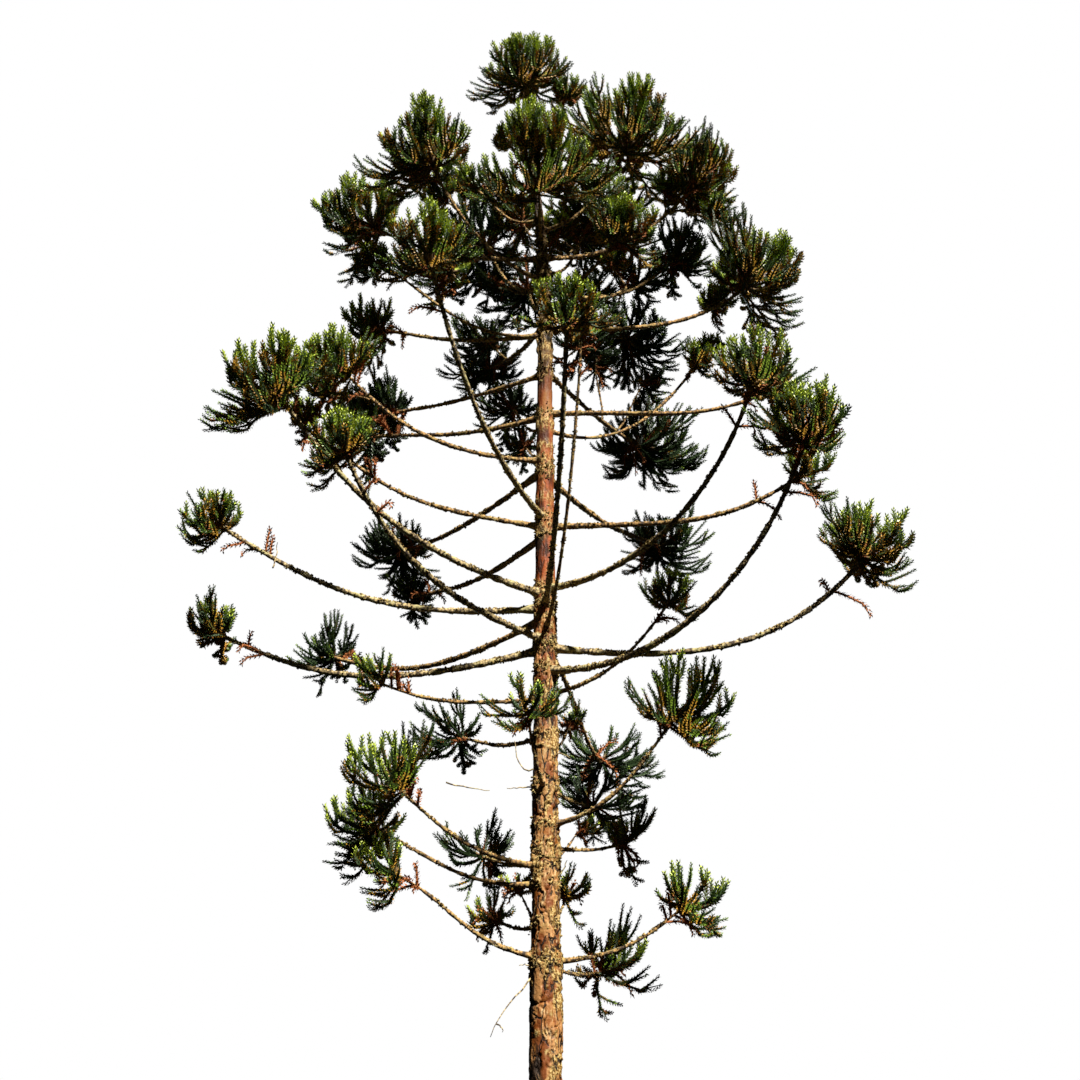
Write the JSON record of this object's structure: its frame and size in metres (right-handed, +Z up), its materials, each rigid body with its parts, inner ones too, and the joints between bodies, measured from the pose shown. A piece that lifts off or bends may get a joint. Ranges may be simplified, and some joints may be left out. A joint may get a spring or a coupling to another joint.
{
  "type": "araucaria tree",
  "caption": "Tall candelabra araucaria: straight trunk, whorls of long bare limbs that sweep out and turn up, each ending in a tuft of rope-like needle shoots.",
  "frame": {"origin": "middle of the flat cut under the trunk, at ground level", "axes": "+Z up along the trunk, -Y towards the viewer of the picture, +X to the viewer's right"},
  "size_m": [8.1637, 6.5929, 17.1934],
  "materials": {
    "bark": "rough scaly bark",
    "limb_bark": "knobbly bark",
    "needles": "stiff needles"
  },
  "bodies": {
    "root": {"trunk": "bark", "bough_front_left_lower": "limb_bark", "bough_front_left_middle": "limb_bark", "bough_front_left_upper": "limb_bark", "bough_front_middle": "limb_bark", "bough_front_right_middle": "limb_bark", "bough_left_lower": "limb_bark", "bough_left_middle": "limb_bark", "bough_right_lower": "limb_bark", "bough_right_middle": "limb_bark", "foliage_crown_front": "needles", "foliage_crown_front_left": "needles", "foliage_crown_front_right": "needles", "foliage_crown_left": "needles", "foliage_crown_right": "needles", "foliage_eighth_back_left": "needles", "foliage_eighth_back_right": "needles", "foliage_eleventh_back": "needles", "foliage_eleventh_left": "needles", "foliage_eleventh_right": "needles", "foliage_fifth_back_right": "needles", "foliage_fourth_back_left": "needles", "foliage_fourth_left": "needles", "foliage_fourth_right": "needles", "foliage_front_left_lower": "needles", "foliage_front_left_middle": "needles", "foliage_front_left_upper": "needles", "foliage_front_middle": "needles", "foliage_front_right_middle": "needles", "foliage_leader": "needles", "foliage_left_lower": "needles", "foliage_left_middle": "needles", "foliage_left_upper": "needles", "foliage_low_back_left": "needles", "foliage_low_back_right": "needles", "foliage_low_front_left": "needles", "foliage_low_right": "needles", "foliage_ninth_back_left": "needles", "foliage_ninth_right": "needles", "foliage_right_lower": "needles", "foliage_right_middle": "needles", "foliage_second_back_left": "needles", "foliage_second_front_left": "needles", "foliage_second_left": "needles", "foliage_second_right": "needles", "foliage_seventh_back_left": "needles", "foliage_seventh_left": "needles", "foliage_seventh_right": "needles", "foliage_sixth_back_left": "needles", "foliage_tenth_back_left": "needles", "foliage_tenth_back_right": "needles", "foliage_third_back_right": "needles", "foliage_third_front": "needles", "foliage_third_right": "needles", "foliage_twelfth_back": "needles", "foliage_twelfth_back_left": "needles", "foliage_twelfth_back_right": "needles", "foliage_twelfth_back_upper": "needles", "foliage_twelfth_front_right": "needles", "foliage_twelfth_right": "needles"}
  },
  "joints": []
}
